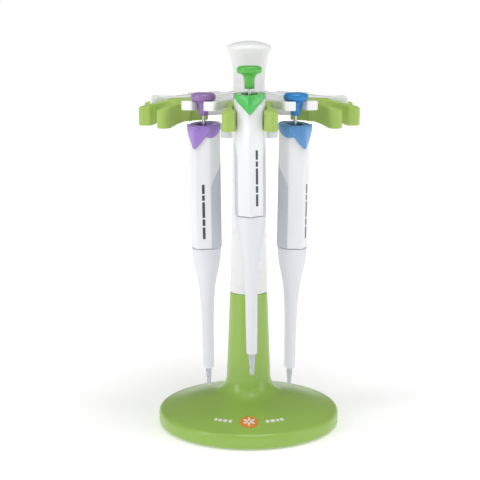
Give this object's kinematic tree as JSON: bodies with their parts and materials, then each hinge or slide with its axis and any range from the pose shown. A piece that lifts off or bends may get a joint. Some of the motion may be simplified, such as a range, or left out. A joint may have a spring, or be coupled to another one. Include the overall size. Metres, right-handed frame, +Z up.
{
  "type": "revolving pipette stand with pipettes",
  "caption": "Round weighted stand with a revolving turret of hanger arms and flip-up fork grips, holding hand pipettes with coloured buttons.",
  "frame": {"origin": "centre of the base's underside, at the bottom of the feet", "axes": "+Z up along the spindle; the front, with the pipettes, faces -Y"},
  "size_m": [0.1792, 0.184, 0.316],
  "materials": {
    "lime_plastic": "satin moulded",
    "lime_grip": "soft satin",
    "white_plastic": "smooth moulded",
    "grey_grip": "soft touch",
    "purple_plastic": "smooth moulded",
    "blue_plastic": "smooth moulded",
    "green_plastic": "smooth moulded",
    "nozzle_plastic": "fine matt",
    "orange_badge": "printed disc",
    "steel": "turned",
    "iron": "as cast",
    "black_rubber": "matt",
    "bush_plastic": "turned"
  },
  "bodies": {
    "stand": {"base_shell": "lime_plastic", "base_plate": "steel", "base_weight": "iron", "rubber_feet": "black_rubber", "base_screws": "steel", "badge": "orange_badge", "spindle": "steel"},
    "carousel": {"turret_column": "white_plastic", "top_cap": "white_plastic", "turret_bushes": "bush_plastic", "hub_spider": "white_plastic", "grip_pins": "steel", "hanger_arm_1": "white_plastic", "hanger_arm_2": "white_plastic", "hanger_arm_3": "white_plastic", "hanger_arm_4": "white_plastic", "hanger_arm_5": "white_plastic", "hanger_arm_6": "white_plastic", "fork_grip_5": "lime_grip"},
    "grip_1": {"fork_grip_1": "lime_grip"},
    "grip_2": {"fork_grip_2": "lime_grip"},
    "grip_3": {"fork_grip_3": "lime_grip"},
    "grip_4": {"fork_grip_4": "lime_grip"},
    "grip_6": {"fork_grip_6": "lime_grip"},
    "purple_plunger": {"purple_plunger_rod": "steel", "purple_piston": "steel"},
    "purple_button": {"purple_button": "purple_plastic"},
    "purple_handle": {"purple_handle": "white_plastic", "purple_grip_panel": "grey_grip", "purple_collar": "purple_plastic", "purple_plunger_spring": "steel", "purple_piston_seal": "black_rubber", "purple_nozzle": "nozzle_plastic", "purple_ejector_spring": "steel"},
    "purple_ejector": {"purple_ejector_key": "purple_plastic", "purple_ejector_sleeve": "white_plastic"},
    "blue_plunger": {"blue_plunger_rod": "steel", "blue_piston": "steel"},
    "blue_button": {"blue_button": "blue_plastic"},
    "blue_handle": {"blue_handle": "white_plastic", "blue_grip_panel": "grey_grip", "blue_collar": "blue_plastic", "blue_plunger_spring": "steel", "blue_piston_seal": "black_rubber", "blue_nozzle": "nozzle_plastic", "blue_ejector_spring": "steel"},
    "blue_ejector": {"blue_ejector_key": "blue_plastic", "blue_ejector_sleeve": "white_plastic"},
    "green_plunger": {"green_plunger_rod": "steel", "green_piston": "steel"},
    "green_button": {"green_button": "green_plastic"},
    "green_handle": {"green_handle": "white_plastic", "green_grip_panel": "grey_grip", "green_collar": "green_plastic", "green_plunger_spring": "steel", "green_piston_seal": "black_rubber", "green_nozzle": "nozzle_plastic", "green_ejector_spring": "steel"},
    "green_ejector": {"green_ejector_key": "green_plastic", "green_ejector_sleeve": "white_plastic"}
  },
  "joints": [
    {"name": "carousel_spin", "type": "hinge", "parent": "stand", "child": "carousel", "pos_m": [0, 0, 0.112], "axis": [0, 0, 1], "continuous": true},
    {"name": "grip_1_flip", "type": "hinge", "parent": "carousel", "child": "grip_1", "pos_m": [0.04114, 0.02375, 0.2625], "axis": [0.5, -0.866, 0], "range_deg": [0, 80]},
    {"name": "grip_2_flip", "type": "hinge", "parent": "carousel", "child": "grip_2", "pos_m": [0, 0.0475, 0.2625], "axis": [1, 0, 0], "range_deg": [0, 80]},
    {"name": "grip_3_flip", "type": "hinge", "parent": "carousel", "child": "grip_3", "pos_m": [-0.04114, 0.02375, 0.2625], "axis": [0.5, 0.866, 0], "range_deg": [0, 80]},
    {"name": "grip_4_flip", "type": "hinge", "parent": "carousel", "child": "grip_4", "pos_m": [-0.04114, -0.02375, 0.2625], "axis": [-0.5, 0.866, 0], "range_deg": [0, 80]},
    {"name": "grip_6_flip", "type": "hinge", "parent": "carousel", "child": "grip_6", "pos_m": [0.04114, -0.02375, 0.2625], "axis": [-0.5, -0.866, 0], "range_deg": [0, 80]},
    {"name": "purple_lift_out", "type": "slide", "parent": "carousel", "child": "purple_plunger", "axis": [-0.5, -0.866, 0], "range_m": [0, 0.02]},
    {"name": "purple_plunger_stroke", "type": "slide", "parent": "purple_plunger", "child": "purple_handle", "axis": [-0.014, -0.0242, 0.9996], "range_m": [0, 0.0085], "stiffness_N_per_m": 300, "springref_m": -0.004, "deforming": ["purple_plunger_spring"]},
    {"name": "purple_volume_dial", "type": "hinge", "parent": "purple_plunger", "child": "purple_button", "pos_m": [-0.0348, -0.06028, 0.2725], "axis": [-0.014, -0.0242, 0.9996], "continuous": true},
    {"name": "purple_ejector_press", "type": "slide", "parent": "purple_handle", "child": "purple_ejector", "axis": [0.014, 0.0242, -0.9996], "range_m": [0, 0.006], "stiffness_N_per_m": 400, "springref_m": -0.002, "deforming": ["purple_ejector_spring"]},
    {"name": "blue_lift_out", "type": "slide", "parent": "carousel", "child": "blue_plunger", "axis": [0.5, -0.866, 0], "range_m": [0, 0.02]},
    {"name": "blue_plunger_stroke", "type": "slide", "parent": "blue_plunger", "child": "blue_handle", "axis": [0.014, -0.0242, 0.9996], "range_m": [0, 0.0085], "stiffness_N_per_m": 300, "springref_m": -0.004, "deforming": ["blue_plunger_spring"]},
    {"name": "blue_volume_dial", "type": "hinge", "parent": "blue_plunger", "child": "blue_button", "pos_m": [0.0348, -0.06028, 0.2725], "axis": [0.014, -0.0242, 0.9996], "continuous": true},
    {"name": "blue_ejector_press", "type": "slide", "parent": "blue_handle", "child": "blue_ejector", "axis": [-0.014, 0.0242, -0.9996], "range_m": [0, 0.006], "stiffness_N_per_m": 400, "springref_m": -0.002, "deforming": ["blue_ejector_spring"]},
    {"name": "green_lift_out", "type": "slide", "parent": "carousel", "child": "green_handle", "axis": [-0.0105, 0, 0.9999], "range_m": [0, 0.02]},
    {"name": "green_plunger_stroke", "type": "slide", "parent": "green_handle", "child": "green_plunger", "axis": [0.0105, 0, -0.9999], "range_m": [0, 0.01], "stiffness_N_per_m": 300, "springref_m": -0.002, "deforming": ["green_plunger_spring"]},
    {"name": "green_volume_dial", "type": "hinge", "parent": "green_plunger", "child": "green_button", "pos_m": [0, -0.0751, 0.2622], "axis": [-0.0105, 0, 0.9999], "continuous": true},
    {"name": "green_ejector_press", "type": "slide", "parent": "green_handle", "child": "green_ejector", "axis": [0.0105, 0, -0.9999], "range_m": [0, 0.006], "stiffness_N_per_m": 400, "springref_m": -0.002, "deforming": ["green_ejector_spring"]}
  ]
}
